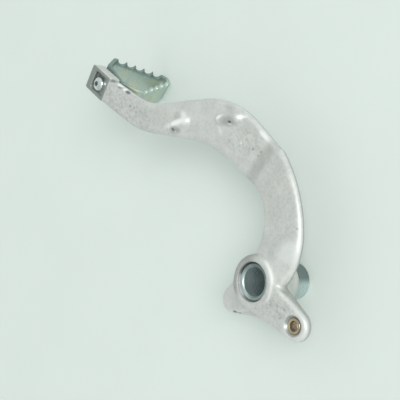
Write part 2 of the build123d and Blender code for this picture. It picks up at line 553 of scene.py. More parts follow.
SLEEVE_ZINC = PlatedMetal(
    "sleeve_zinc", film=(0.54, 0.65, 0.65), cloud=(0.60, 0.69, 0.68), dark=(0.20, 0.25, 0.25),
    stretch=(0.06, 0.06, 1.0), metallic=0.7, roughness=0.32,
)
STEP_ZINC = PlatedMetal(
    "step_zinc", film=(0.515, 0.622, 0.572), cloud=(0.615, 0.65, 0.515), dark=(0.18, 0.25, 0.25),
    stretch=(1.0, 0.25, 1.0), line=1.2, line_share=0.08, metallic=0.7, roughness=0.34,
)
BRONZE = PlatedMetal(
    "bronze", film=(0.62, 0.52, 0.34), cloud=(0.50, 0.38, 0.27), dark=(0.10, 0.07, 0.05),
    stretch=(1.0, 1.0, 0.2), line=0.6,
)
BRIGHT_STEEL = PlatedMetal(
    "bright_steel", film=(0.66, 0.74, 0.73), cloud=(0.95, 0.97, 0.97), dark=(0.12, 0.15, 0.15),
    stretch=(1.0, 1.0, 0.3), line=0.5, line_share=0.06, blot=3.0, metallic=1.0, roughness=0.14,
)


class Maker:
    """What the pedal's pieces share: each stands for a CAD node, and has a finish."""

    node: str
    slot: str
    finish: Union[CastSkin, PlatedMetal]

    def settle(self, piece: Piece) -> None:
        """Dresses a piece and puts it in the place of its node.

        Args:
            piece: The new piece.
        """
        material = bpy.data.materials.get(self.finish.name) or self.finish.material()
        piece.data.materials.clear()
        piece.data.materials.append(material)
        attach(piece, BODY)
        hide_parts(self.node)
        log.info("%s stands for %s: %d faces", piece.name, self.node, len(piece.data.polygons))


class Skin:
    """Mesh of the casting as arrays: points, normals, and the pairs of points at its edges."""

    def __init__(self, mesh: Mesh) -> None:
        """Reads the arrays of a mesh.

        Args:
            mesh: The mesh.
        """
        self.mesh = mesh
        self.points = points_of(mesh)
        self.normals = vectors_of(mesh, "normal")
        ends = np.empty(2 * len(mesh.edges), dtype=np.int32)
        mesh.edges.foreach_get("vertices", ends)
        self.edges = ends.reshape(-1, 2)
        self.degree = np.maximum(np.bincount(ends, minlength=len(self.points)), 1)

    def neighbours(self, values: Array) -> Array:
        """Mean of each point's neighbours: both ends of every edge are added up and divided.

        Args:
            values: Values of the points, a row for each.

        Returns:
            The means, in the same rows.
        """
        total = np.zeros_like(values)
        for start, end in ((0, 1), (1, 0)):
            for axis in range(values.shape[1]):
                joined = values[self.edges[:, end], axis]
                total[:, axis] += np.bincount(self.edges[:, start], joined, len(values))
        return total / self.degree[:, None]

    def move(self, points: Array) -> None:
        """Puts the points in new places, in the mesh as well.

        Args:
            points: The new places.
        """
        self.points = points
        self.mesh.vertices.foreach_set("co", (points * MM).astype(np.float32).ravel())
        self.mesh.update()
        self.normals = vectors_of(self.mesh, "normal")

    def upper(self) -> Array:
        """Cover of the upper side, by the upward part of its normals."""
        return smooth_step(self.normals[:, 2], *UPPER_SLOPE)

    def bend(self, passes: int) -> Array:
        """How far each point stands out from its neighbours, evened out with theirs.

        Args:
            passes: Times that it is evened out.

        Returns:
            The distance, more than 0 on a rim and less in a hollow.
        """
        out = (self.points - self.neighbours(self.points)) * self.normals
        bend = np.sum(out, axis=1)[:, None]
        for _ in range(passes):
            bend = self.neighbours(bend)
        return bend[:, 0]


@dataclass(frozen=True)
class ArmPlan:
    """Where the casting's boss, seats, pad and pocket lie."""

    boss_radius: float = 15.3
    boss_face: float = 36.0
    arm_face: float = 32.0
    seat_radius: float = 10.9
    bush_radius: float = 5.7
    bush_place: Pair = (34.8, 2.4)
    bush_depth: float = 6.0
    pad_face: float = 54.5
    pad_place: Pair = (-167.84, 5.69)
    pad_heading: float = 9.46
    pad_half: Pair = (10.3, 8.0)
    pad_skin: Pair = (0.7, 0.3)
    pocket_half: Pair = (6.8, 5.7)
    pocket_setback: float = 1.4
    pocket_depth: float = 9.0
    pocket_margin: float = 0.4

    def pad_axes(self, points: Array) -> tuple[Array, Array]:
        """Distances along and across the toe block's pad, from its middle."""
        return along_across(points, self.pad_place, self.pad_heading)

    def past_block(self, points: Array) -> Array:
        """Distance past the toe block's outline, less than 0 inside it."""
        along, across = self.pad_axes(points)
        return np.maximum(np.abs(along) - self.pad_half[0], np.abs(across) - self.pad_half[1])

    def pad(self, points: Array) -> Array:
        """Cover of the toe block's pad."""
        low, high = (self.pad_face - depth for depth in self.pad_skin)
        return within(self.past_block(points)) * smooth_step(points[:, 2], low, high)

    def pocket(self, points: Array, margin: float) -> Array:
        """Points inside the pocket of the toe block.

        Args:
            points: The points.
            margin: Distance by which the pocket's outline is widened.

        Returns:
            Whether each point is inside.
        """
        along, across = self.pad_axes(points)
        inside = np.abs(along - self.pocket_setback) < self.pocket_half[0] + margin
        inside &= np.abs(across) < self.pocket_half[1] + margin
        return inside & (points[:, 2] > self.pad_face - self.pocket_depth)

    def machined(self, points: Array) -> Array:
        """Cover of the faces cut by a tool: bore, seal seat, bush seat, pad and pocket.

        Args:
            points: The points.

        Returns:
            Cover of each point, from 0 to 1.
        """
        x, y, z = points.T
        bore = within(np.hypot(x, y) - self.seat_radius)
        away = np.hypot(x - self.bush_place[0], y - self.bush_place[1])
        seat = within(away - self.bush_radius) * (z > self.arm_face - self.bush_depth)
        pocket = self.pocket(points, self.pocket_margin)
        return np.max([bore, seat, self.pad(points), pocket], axis=0)


@dataclass(frozen=True)
class Spot:
    """Mark on the upper side of the casting: a soft oval, seen along the pivot axis."""

    x: float
    y: float
    length: float
    width: float
    heading: float = 0.0
    strength: float = 1.0

    def cover(self, points: Array) -> Array:
        """Strength at each point: a steep bell curve of the distance over the oval's half axes.

        Args:
            points: The points.

        Returns:
            The strengths.
        """
        along, across = along_across(points, (self.x, self.y), self.heading)
        reach = (along / (self.length / 2.0)) ** 2 + (across / (self.width / 2.0)) ** 2
        return self.strength * np.exp(-SPOT_EDGE * reach**2)


SPOTS: dict[Mark, tuple[Spot, ...]] = {
    Mark.POLISH_AND_HIGHLIGHT: (
        # Nub next to the elbow: worn streaks, brightened as painted highlights
        Spot(-78.0, 51.0, 6.2, 2.2, 66.0), Spot(-66.6, 60.9, 7.0, 1.8, 43.0, 0.9),
        Spot(-70.3, 52.6, 3.3, 1.1, 41.0), Spot(-74.0, 45.2, 6.0, 1.5, -29.0, 0.5),
        Spot(-58.5, 49.0, 1.3, 1.3),
        # Nub next to the toe: worn streaks, brightened as painted highlights
        Spot(-100.6, 28.7, 20.0, 4.0, 53.0), Spot(-98.4, 34.2, 10.0, 5.0, -26.0, 0.75),
        Spot(-101.8, 24.1, 1.4, 1.1), Spot(-98.6, 23.7, 1.4, 1.1),
        # Chips along the edge beside the toe step
        Spot(-157.8, 17.0, 6.0, 1.2, 38.0), Spot(-150.5, 16.9, 6.0, 1.5, 19.0),
        Spot(-145.7, 17.5, 3.6, 2.2, 15.0),
        # Painted highlights on the elbow's edge, and on the swelling above the boss
        Spot(-49.6, 62.0, 9.0, 2.6, -5.0, 0.75), Spot(7.8, 30.2, 24.0, 14.0, 50.0, 0.5),
    ),
    Mark.GRIME_AND_SHADE: (
        # Nubs: dark worn patches, and painted shade beside them
        Spot(-71.9, 53.6, 13.0, 6.4, 44.0, 0.34), Spot(-76.5, 59.3, 7.0, 5.0, 39.0, 0.12),
        Spot(-104.0, 31.6, 6.0, 4.5, 53.0, 0.16), Spot(-99.4, 24.4, 9.0, 4.6, 42.0, 0.36),
        # Painted shade in the crease at the elbow and along its edge, then a darker tone on lug and
        # toe
        Spot(-42.0, 48.0, 8.5, 44.0, 0.0, 0.26), Spot(-41.8, 63.2, 6.0, 2.4, -10.0, 0.3),
        Spot(22.0, 0.0, 30.0, 16.0, 8.0, 0.05), Spot(-140.0, 9.0, 70.0, 30.0, 10.0, 0.05),
    ),
    Mark.PIT_AND_SHADOW: (
        # Cores of the nubs
        Spot(-70.6, 53.9, 2.2, 1.3, 41.0), Spot(-100.2, 24.0, 1.9, 1.5),
        # Pinholes
        Spot(-50.4, 51.7, 1.5, 1.2, 0.0, 0.5), Spot(-45.4, 53.9, 1.5, 1.1, 0.0, 0.5),
        Spot(-45.6, 50.9, 1.3, 1.1, 0.0, 0.4), Spot(-135.9, 12.6, 1.5, 1.2, 0.0, 0.6),
        Spot(-132.6, 13.6, 1.2, 1.0, 0.0, 0.5), Spot(-130.0, 12.9, 1.4, 1.0, 0.0, 0.5),
        Spot(1.8, 41.1, 1.3, 1.0, 0.0, 0.4), Spot(17.5, 0.3, 1.4, 1.0, 0.0, 0.4),
        Spot(25.5, 5.0, 1.5, 1.2, 0.0, 0.4), Spot(21.1, 3.7, 1.6, 1.2, 0.0, 0.4),
        Spot(11.8, -8.0, 1.5, 1.1, 0.0, 0.35), Spot(26.2, -0.5, 1.3, 1.1, 0.0, 0.35),
        Spot(-142.7, 2.6, 1.4, 1.1, 0.0, 0.35),
        # Chips along the edge beside the toe step, and painted shadow in the notch of the spring
        # tab
        Spot(-156.4, 15.9, 7.0, 2.6, 38.0, 0.6), Spot(-149.6, 15.9, 3.6, 1.3, 19.0, 0.55),
        Spot(-142.9, 17.6, 4.6, 1.7, 10.0, 0.8), Spot(-3.8, -28.4, 3.2, 2.2, 30.0, 0.9),
    ),
    Mark.SCUFFED: (
        # Toe, elbow, lug and root of the arm
        Spot(-140.0, 9.0, 70.0, 30.0, 10.0, 0.11), Spot(-58.0, 50.5, 28.0, 17.0, 45.0, 0.11),
        Spot(21.0, 1.0, 32.0, 17.0, 8.0, 0.12), Spot(-20.0, 46.0, 60.0, 30.0, -35.0, 0.04),
    ),
}


@dataclass
class ArmWearAndLight:
    """Marks on the casting: spots, worn rims and painted highlights, painted shade below, in the
    hollows, in the pocket and round the bore, and a darker pad.
    """

    plan: ArmPlan
    skin: Skin
    bend_passes: int = 4
    rim_bend: Pair = (0.010, 0.030)
    hollow_bend: Pair = (0.010, 0.035)
    hollow_shade: float = 0.12
    toe_polish: float = 0.15
    elbow_polish: float = 0.35
    elbow_place: Pair = (-85.0, -70.0)
    root_dulling: float = 0.16
    root_place: Pair = (-46.0, -34.0)
    boss_place: Pair = (15.0, 26.0)
    under_shade: float = 0.5
    under_slope: Pair = (-0.3, 0.15)
    bottom_slope: Pair = (0.75, 0.95)
    bottom_share: float = 0.6
    neck_margin: float = 2.0
    neck_drop: float = 5.0
    neck_share: float = 0.7
    block_margin: float = 2.0
    block_blur: float = 1.0
    block_share: float = 0.8
    pad_darkening: float = 0.22
    pocket_margin: float = 0.3
    pocket_lip: float = 0.6
    pocket_shade: Pair = (0.10, 0.55)
    pocket_fade: Pair = (-1.0, 5.0)
    seat_margin: float = 0.2
    seat_lip: float = 1.4
    seat_fade: Pair = (0.68, 0.95)
    seat_shade: Pair = (0.15, 0.7)
    shaded_heading: float = 170.0
    seat_highlight: float = 0.8
    lit_heading: float = 232.0
    rim_margin: float = 1.0
    rim_rise: float = 2.0
    rim_fade: Pair = (0.0, 0.8)
    rim_shade: float = 0.42
    shaded_rim_heading: float = 190.0
    crest_inset: float = 0.4
    crest_width: float = 0.9
    crest_level: Pair = (33.5, 35.0)
    crest_fade: Pair = (0.5, 0.85)
    crest_highlight: float = 0.8
    crest_heading: float = 50.0

    def spot_marks(self) -> Covers:
        """Spots on the upper side.

        Returns:
            The marks.
        """
        upper = self.skin.upper()
        pairs = ((mark, spot) for mark, spots in SPOTS.items() for spot in spots)
        return [(mark, spot.cover(self.skin.points) * upper) for mark, spot in pairs]

    def rim_marks(self) -> Covers:
        """Polish on the rims, partly wear and partly painted highlight, most at the elbow and none
        at the boss, and painted shade in the hollows.

        Returns:
            The marks.
        """
        x, y, _ = self.skin.points.T
        bend = self.skin.bend(self.bend_passes)
        worn = self.toe_polish + self.elbow_polish * smooth_step(x, *self.elbow_place)
        worn -= self.root_dulling * smooth_step(x, *self.root_place)
        worn *= smooth_step(np.hypot(x, y), *self.boss_place)
        return [
            (Mark.POLISH_AND_HIGHLIGHT, worn * smooth_step(bend, *self.rim_bend)),
            (Mark.GRIME_AND_SHADE, self.hollow_shade * smooth_step(-bend, *self.hollow_bend)),
        ]

    def under_marks(self) -> Covers:
        """Painted shade on the sides and below, less on the flat bottom, the neck and the toe
        block.

        Returns:
            The marks.
        """
        x, y, z = self.skin.points.T
        fall = -self.skin.normals[:, 2]
        belt = smooth_step(fall, *self.under_slope)
        belt *= 1.0 - self.bottom_share * smooth_step(fall, *self.bottom_slope)
        neck = within(np.hypot(x, y) - self.plan.boss_radius - self.neck_margin)
        belt *= 1.0 - self.neck_share * neck * (z < self.plan.arm_face - self.neck_drop)
        past = self.plan.past_block(self.skin.points) - self.block_margin
        belt *= 1.0 - self.block_share * within(past, self.block_blur)
        return [(Mark.GRIME_AND_SHADE, self.under_shade * belt)]

    def pad_marks(self) -> Covers:
        """Darkening on the toe block's pad, and painted shade in its pocket, most towards one
        corner.

        Returns:
            The marks.
        """
        plan, points = self.plan, self.skin.points
        along, across = plan.pad_axes(points)
        corner = smooth_step(across - along, *self.pocket_fade)
        pocket = plan.pocket(points, self.pocket_margin)
        pocket &= points[:, 2] < plan.pad_face - self.pocket_lip
        thin, thick = self.pocket_shade
        return [
            (Mark.GRIME_AND_SHADE, self.pad_darkening * plan.pad(points)),
            (Mark.GRIME_AND_SHADE, (thin + thick * corner) * pocket),
        ]

    def ring_marks(self) -> Covers:
        """Painted shade and highlights round the bore's mouth.

        The seal seat has painted shade, heaviest on one side, and a painted highlight beside it;
        the boss's rim has painted shade on that side; and its crest, a bell curve of the radius,
        has a painted highlight towards arm and lug.

        Returns:
            The marks.
        """
        plan, points = self.plan, self.skin.points
        x, y, z = points.T
        reach = np.maximum(np.hypot(x, y), 1.0)
        # Sides with painted shade on seat and rim, the seat's lit side, and the crest's painted
        # highlight.
        shade_side = facing(points, reach, self.shaded_heading, self.seat_fade)
        lit = facing(points, reach, self.lit_heading, self.seat_fade)
        dull = facing(points, reach, self.shaded_rim_heading, self.rim_fade)
        worn = facing(points, reach, self.crest_heading, self.crest_fade)
        seat = within(reach - plan.seat_radius - self.seat_margin) * (z > plan.arm_face)
        seat *= 1.0 - smooth_step(z, plan.boss_face - self.seat_lip, plan.boss_face)
        rim = smooth_step(z, plan.arm_face, plan.arm_face + self.rim_rise)
        rim *= within(reach - plan.boss_radius - self.rim_margin)
        off_crest = (reach - plan.boss_radius + self.crest_inset) / self.crest_width
        crest = np.exp(-(off_crest**2)) * smooth_step(z, *self.crest_level)
        thin, thick = self.seat_shade
        return [
            (Mark.GRIME_AND_SHADE, seat * (thin + thick * shade_side)),
            (Mark.GRIME_AND_SHADE, self.rim_shade * rim * dull),
            (Mark.POLISH_AND_HIGHLIGHT, self.seat_highlight * seat * lit),
            (Mark.POLISH_AND_HIGHLIGHT, self.crest_highlight * crest * worn),
        ]

    def layers(self) -> Layers:
        """All layers of marks: at each point, the strongest of the marks of a kind.

        Returns:
            A layer for each kind of mark.
        """
        machined = self.plan.machined(self.skin.points)
        rough = self.spot_marks() + self.rim_marks() + self.under_marks()
        covers = [(mark, cover * (1.0 - machined)) for mark, cover in rough]
        covers += self.pad_marks() + self.ring_marks() + [(Mark.MACHINED, machined)]
        layers = {mark: np.zeros_like(machined) for mark in Mark}
        for mark, cover in covers:
            layers[mark] = np.maximum(layers[mark], cover)
        return layers


@dataclass
class CastArm(Maker):
    """The one-piece casting: its CAD skin, evenly meshed, softened like a casting and worn."""

    node: str = "pedal_arm"
    slot: str = "cast_aluminium"
    finish: CastSkin = CastSkin()
    plan: ArmPlan = ArmPlan()
    voxel: float = 0.55
    skin_gap: float = 0.001
    even_passes: int = 6
    free_passes: int = 3
    hollow_passes: int = 51
    pull: float = 0.6
    foot_ring: Pair = (1.6, 4.6)
    foot_side: Pair = (-3.0, 5.0)
    foot_left: Pair = (8.0, 12.5)
    foot_right: Pair = (15.0, 19.0)
    foot_low: float = 24.0
    neck_low: Pair = (3.0, 8.0)
    neck_high: Pair = (24.0, 29.0)
    neck_reach: Pair = (16.0, 20.0)
    skirt_height: float = 2.4
    skirt_width: float = 7.0
    skirt_heading: float = 50.0
    skirt_fade: Pair = (0.55, 0.9)
    skirt_drop: Pair = (4.0, 0.5)
    skirt_margin: float = 0.6
    bulge_place: Pair = (5.0, 31.0)
    bulge_size: float = 8.5
    bulge_height: float = 1.3
    wave_lengths: tuple[float, ...] = (31.0, 23.0, 17.0, 11.0, 7.0)
    wave_height: float = 0.06
    pit_depth: float = 0.3
    crease: float = 180.0

    def even_mesh(self) -> Mesh:
        """Even mesh of the node's skin, from a merged copy of its triangles.

        Returns:
            The new mesh.
        """
        mesh = frame["nodes"][self.node].data.copy()
        weld(mesh, self.skin_gap)
        blank = bpy.data.objects.new("blank", mesh)
        bpy.context.scene.collection.objects.link(blank)
        remesh = blank.modifiers.new("even", "REMESH")
        remesh.mode = "VOXEL"
        remesh.voxel_size = self.voxel * MM
        depsgraph = bpy.context.evaluated_depsgraph_get()
        even = bpy.data.meshes.new_from_object(blank.evaluated_get(depsgraph))
        bpy.data.objects.remove(blank)
        bpy.data.meshes.remove(mesh)
        return even

    def raised_foot(self, points: Array) -> Array:
        """Rise of the casting between arm and lug, towards the boss.

        The rise is a bell curve of the distance outside the boss, faded out round it by a cosine,
        and dies away from the arm's face up to the boss's face and down the arm's side.

        Args:
            points: Points of the even skin.

        Returns:
            Rise of each point.
        """
        x, y, z = points.T
        plan = self.plan
        reach = np.maximum(np.hypot(x, y), 1.0)
        outside = np.maximum(reach - plan.boss_radius, 0.0) / self.skirt_width
        level = np.clip((plan.boss_face - z) / (plan.boss_face - plan.arm_face), 0.0, 1.0)
        low, high = (plan.arm_face - drop for drop in self.skirt_drop)
        level *= smooth_step(z, low, high) * (reach > plan.seat_radius + self.skirt_margin)
        level *= facing(points, reach, self.skirt_heading, self.skirt_fade)
        return self.skirt_height * np.exp(-(outside**2)) * level

    def hollows(self, points: Array) -> Array:
        """Cover of the boss's foot, a ring about its corner with the arm, and of the neck.

        Args:
            points: Points of the even skin.

        Returns:
            Cover of each point, from 0 to 1.
        """
        x, y, z = points.T
        reach = np.hypot(x, y)
        corner = np.hypot(reach - self.plan.boss_radius, z - self.plan.arm_face)
        foot = (1.0 - smooth_step(corner, *self.foot_ring)) * (z > self.foot_low)
        foot *= smooth_step(y, *self.foot_side)
        foot *= 1.0 - smooth_step(-x, *self.foot_left)
        foot *= 1.0 - smooth_step(x, *self.foot_right)
        neck = smooth_step(z, *self.neck_low) * (1.0 - smooth_step(z, *self.neck_high))
        neck *= 1.0 - smooth_step(reach, *self.neck_reach)
        return np.maximum(foot, neck)

    def soften(self, skin: Skin) -> Array:
        """Moves points towards the mean of their neighbours, many times over.

        The first passes even out the whole skin, and the next ones leave the machined faces
        as they are. The last and most move only the foot of the boss and the neck, so that they
        flow into the arm as a cast hollow does.

        Args:
            skin: The even skin.

        Returns:
            The moved points.
        """
        points = skin.points
        free = 1.0 - self.plan.machined(points)
        for passes, share in (
            (self.even_passes, np.ones_like(free)),
            (self.free_passes, free),
            (self.hollow_passes, free * self.hollows(skin.points)),
        ):
            for _ in range(passes):
                step = skin.neighbours(points) - points
                points = points + self.pull * share[:, None] * step
        return points

    def waves(self, points: Array) -> Array:
        """Slight unevenness of a casting: a sum of sine waves in scattered directions.

        Args:
            points: Points of the softened skin.

        Returns:
            Height at each point, from -1 to 1.
        """
        source = np.random.default_rng(WAVE_SEED)
        total = np.zeros(len(points))
        for length in self.wave_lengths:
            direction = source.normal(size=3)
            direction *= math.tau / length / np.linalg.norm(direction)
            total += length * np.sin(points @ direction + source.uniform(0.0, math.tau))
        return total / sum(self.wave_lengths)

    def lift(self, skin: Skin, layers: Layers) -> Array:
        """Distance that each point moves outwards.

        A swelling above the boss, which is a bell curve of the distance from its middle, and the
        waves are added up where no tool has cut. Pits go inwards, and so does the notch where a
        shadow is painted.

        Args:
            skin: The softened skin.
            layers: Its layers of marks.

        Returns:
            The distances.
        """
        x, y, _ = skin.points.T
        away = np.hypot(x - self.bulge_place[0], y - self.bulge_place[1]) / self.bulge_size
        swell = self.bulge_height * np.exp(-(away**2)) * skin.upper()
        rise = swell + self.wave_height * self.waves(skin.points)
        return rise * (1.0 - layers[Mark.MACHINED]) - self.pit_depth * layers[Mark.PIT_AND_SHADOW]

    def build(self) -> Piece:
        """Softens and weathers the skin, and paints its layers of marks.

        Returns:
            The casting.
        """
        skin = Skin(self.even_mesh())
        skin.points[:, 2] += self.raised_foot(skin.points)
        skin.move(self.soften(skin))
        layers = ArmWearAndLight(self.plan, skin).layers()
        skin.move(skin.points + self.lift(skin, layers)[:, None] * skin.normals)
        for mark, values in layers.items():
            paint(skin.mesh, mark, values)
        return shaded("cast_arm", skin.mesh, self.crease)


@dataclass
class PivotSleeve(Maker):
    """Turned tube through the boss, with a bevel at each mouth, painted shade on its side under the
    arm, and painted shade round its upper mouth except on the lit side.
    """

    node: str = "pivot_sleeve"
    slot: str = "zinc_plated_sleeve"
    finish: PlatedMetal = SLEEVE_ZINC
    bevel: float = 0.6
    film: float = 1.0
    shade_heading: float = 100.27
    shade_fade: Pair = (0.35, 0.75)
    mouth_shade: float = 0.7
    mouth_depth: float = 0.9
    lit_heading: float = 234.91
    lit_fade: Pair = (0.3, 0.75)
    columns: int = 128

    def build(self) -> Piece:
        """Carries the closed profile of the wall round the pivot axis.

        Returns:
            The sleeve.
        """
        low, high = node_box(self.node)
        bore = frame["record"]["mounts"][0]["dims"]["r_mm"]
        rim = (high[0] - low[0]) / 2.0
        foot, mouth, b = low[2], high[2], self.bevel
        profile = np.array([
            (bore, foot + b), (bore + b, foot), (rim - b / 2, foot), (rim, foot + b / 2),
            (rim, mouth - b / 2), (rim - b / 2, mouth), (bore + b, mouth), (bore, mouth - b),
            (bore, mouth - 2 * b),
        ])
        piece = turned_piece("sleeve", profile, (low + high)[:2] / 2.0, self.columns)
        points = points_of(piece.data)
        # Painted shade on the side under the arm, and round the mouth except on its lit side; film
        # is its strength.
        upper_shade = self.film * facing(points, rim, self.shade_heading, self.shade_fade)
        dull = 1.0 - facing(points, rim, self.lit_heading, self.lit_fade)
        dull *= self.mouth_shade * (points[:, 2] > mouth - self.mouth_depth)
        paint(piece.data, Mark.GRIME_AND_SHADE, np.maximum(upper_shade, dull))
        return piece


@dataclass
class ClevisBush(Maker):
    """Bronze bush of the clevis pin, rounded at its mouth, with painted shade inside its bore."""

    node: str = "clevis_bush"
    slot: str = "bronze_bush"
    finish: PlatedMetal = BRONZE
    bore_radius: float = 2.8
    bevel: float = 0.15
    round_share: float = 0.35
    bore_shade: float = 0.45
    columns: int = 64

    def build(self) -> Piece:
        """Carries the closed profile of the wall round the pin's axis.

        Returns:
            The bush.
        """
        low, high = node_box(self.node)
        middle = (low + high)[:2] / 2.0
        rim = (high[0] - low[0]) / 2.0
        bore, b, inset = self.bore_radius, self.bevel, self.round_share * self.bevel
        foot, mouth = low[2], high[2]
        profile = np.array([
            (bore, foot), (rim, foot), (rim, mouth - b), (rim - b, mouth),
            (bore + b, mouth), (bore + inset, mouth - inset), (bore, mouth - b),
        ])
        piece = turned_piece("bush", profile, middle, self.columns)
        x, y, _ = points_of(piece.data).T
        inner = np.hypot(x - middle[0], y - middle[1]) < bore + b / 2.0
        paint(piece.data, Mark.GRIME_AND_SHADE, self.bore_shade * inner)
        return piece


@dataclass
class ToeStep(Maker):
    """Sheet-metal band bent to a kite-shaped loop, its two long runs cut to teeth."""

    node: str = "toe_step"
    slot: str = "zinc_plated_step"
    finish: PlatedMetal = STEP_ZINC
    sheet: float = 2.4
    neck_width: float = 21.4
    shoulder_z: float = 34.5
    shoulder_bend: float = 4.0
    neck_bend: float = 3.0
    tip_bend: float = 5.4
    tip_lean: float = 2.0
    tooth_pitch: float = 6.3
    tooth_depth: float = 2.6
    gullet: float = 3.0
    run_gap: float = 0.05
    edge_round: float = 0.35
    edge_turns: tuple[float, ...] = (0.0, 30.0, 60.0, 90.0)
    face_rows: tuple[float, ...] = (0.85, 0.7, 0.5, 0.25)
    shade: float = 0.9
    tooth_shade: float = 0.8
    tooth_fade: float = 1.8
    far_fade: float = 2.0
    samples: int = 900
    crease: float = 50.0

    def rims(self) -> tuple[Array, Array]:
        """Circles that the band's middle line is pulled round.

        Returns:
            Centres in x and z, and radii, of the tip, the two shoulders and the two necks.
        """
        low, high = node_box(self.node)
        middle = (low[0] + high[0]) / 2.0
        neck = self.neck_width / 2.0 - self.neck_bend
        shoulder = (high[0] - low[0]) / 2.0 - self.shoulder_bend
        neck_z = high[2] - self.neck_bend
        centres = np.array([
            (middle - self.tip_lean, low[2] + self.tip_bend),
            (middle - shoulder, self.shoulder_z), (middle + shoulder, self.shoulder_z),
            (middle - neck, neck_z), (middle + neck, neck_z),
        ])
        bends = np.array([self.tip_bend, *[self.shoulder_bend] * 2, *[self.neck_bend] * 2])
        return centres, bends - self.sheet / 2.0

    def path(self) -> tuple[Array, Array]:
        """Middle line of the band, evenly spaced, with its outward directions.

        For each direction, the line touches the circle that reaches furthest that way. The
        touching points are then spaced evenly by length.

        Returns:
            Points and unit directions in x and z.
        """
        centres, bends = self.rims()
        angles = np.linspace(0.0, math.tau, 4 * self.samples)
        ways = np.stack([np.cos(angles), np.sin(angles)], axis=1)
        furthest = np.argmax(ways @ centres.T + bends, axis=1)
        touch = centres[furthest] + bends[furthest, None] * ways
        run = np.cumsum(np.linalg.norm(np.diff(touch, axis=0), axis=1))
        run = np.concatenate([[0.0], run])
        even = np.linspace(0.0, run[-1], self.samples, endpoint=False)
        points = np.stack([np.interp(even, run, touch[:, k]) for k in range(2)], axis=1)
        along = np.roll(points, -1, axis=0) - np.roll(points, 1, axis=0)
        along /= np.linalg.norm(along, axis=1, keepdims=True)
        return points, np.stack([along[:, 1], -along[:, 0]], axis=1)

    def top(self, points: Array, level: float) -> Array:
        """Height of the band's toothed edge along its line.

        A long run touches the tip's circle and a shoulder's. Round gullets at even places along
        it cut the level edge: each is the lower half of a circle whose middle stands a little
        above the edge.

        Args:
            points: Points of the middle line.
            level: Height of the uncut edge.

        Returns:
            Height at each point.
        """
        centres, bends = self.rims()
        height = np.full(len(points), level)
        for shoulder, hand in ((1, 1.0), (2, -1.0)):
            run = centres[0] - centres[shoulder]
            lean = math.acos((bends[shoulder] - bends[0]) / float(np.linalg.norm(run)))
            heading = math.atan2(run[1], run[0]) - hand * lean
            way = np.array([math.cos(heading), math.sin(heading)])
            start = centres[shoulder] + bends[shoulder] * way
            leg = centres[0] + bends[0] * way - start
            length = float(np.linalg.norm(leg))
            place = (points - start) @ leg / length
            near = np.abs((points - start) @ way) < self.run_gap
            near &= (place > 0.0) & (place < length)
            count = round(length / self.tooth_pitch)
            off = ((place / length * count) % 1.0 - 0.5) * length / count
            drop = np.sqrt(np.maximum(self.gullet**2 - off**2, 0.0))
            cut = level + self.gullet - self.tooth_depth - drop
            height = np.where(near, np.minimum(height, cut), height)
        return height

    def strip(self) -> tuple[Array, Array, Array]:
        """Outline of the cut sheet, with a quarter of a circle at each corner.

        It goes over the upper edge, down the inner face, round the lower edge and up the outer
        face.

        Returns:
            Distance out from the middle line, share of the way from the lower edge to the upper
            one, and rise above that, of each point.
        """
        half, r = self.sheet / 2.0, self.edge_round
        turn = np.radians(self.edge_turns)
        edge = np.concatenate([half - r + r * np.cos(turn), r - half - r * np.sin(turn)])
        rise = np.concatenate([r * np.sin(turn) - r, r * np.cos(turn) - r])
        face = np.array(self.face_rows)
        flat = np.zeros_like(face)
        side = np.concatenate([edge, flat - half, -edge, flat + half])
        share = np.concatenate([np.ones_like(edge), face, np.zeros_like(edge), face[::-1]])
        return side, share, np.concatenate([rise, flat, -rise, flat])

    def painted_shade(self, points: Array) -> Array:
        """Painted shade up the neck, and at the roots of the far run's teeth.

        Args:
            points: Points of the band.

        Returns:
            Strength at each point.
        """
        low, high = node_box(self.node)
        x, y, z = points.T
        middle = (low[0] + high[0]) / 2.0
        root = high[1] - self.tooth_depth
        far = 1.0 - smooth_step(x, middle - self.tip_lean - self.far_fade, middle)
        teeth = self.tooth_shade * far * smooth_step(y, root - self.tooth_fade, root)
        return np.maximum(self.shade * smooth_step(z, self.shoulder_z, high[2]), teeth)

    def build(self) -> Piece:
        """Carries the outline of the cut sheet along the line, its upper edge toothed.

        Returns:
            The step.
        """
        low, high = node_box(self.node)
        points, ways = self.path()
        side, share, rise = self.strip()
        top = self.top(points, high[1])[:, None]
        x = points[:, 0, None] + side * ways[:, 0, None]
        y = share * top + (1.0 - share) * low[1] + rise
        z = points[:, 1, None] + side * ways[:, 1, None]
        piece = grid_piece("step_band", np.stack([x, y, z], axis=-1), self.crease)
        paint(piece.data, Mark.GRIME_AND_SHADE, self.painted_shade(points_of(piece.data)))
        return piece


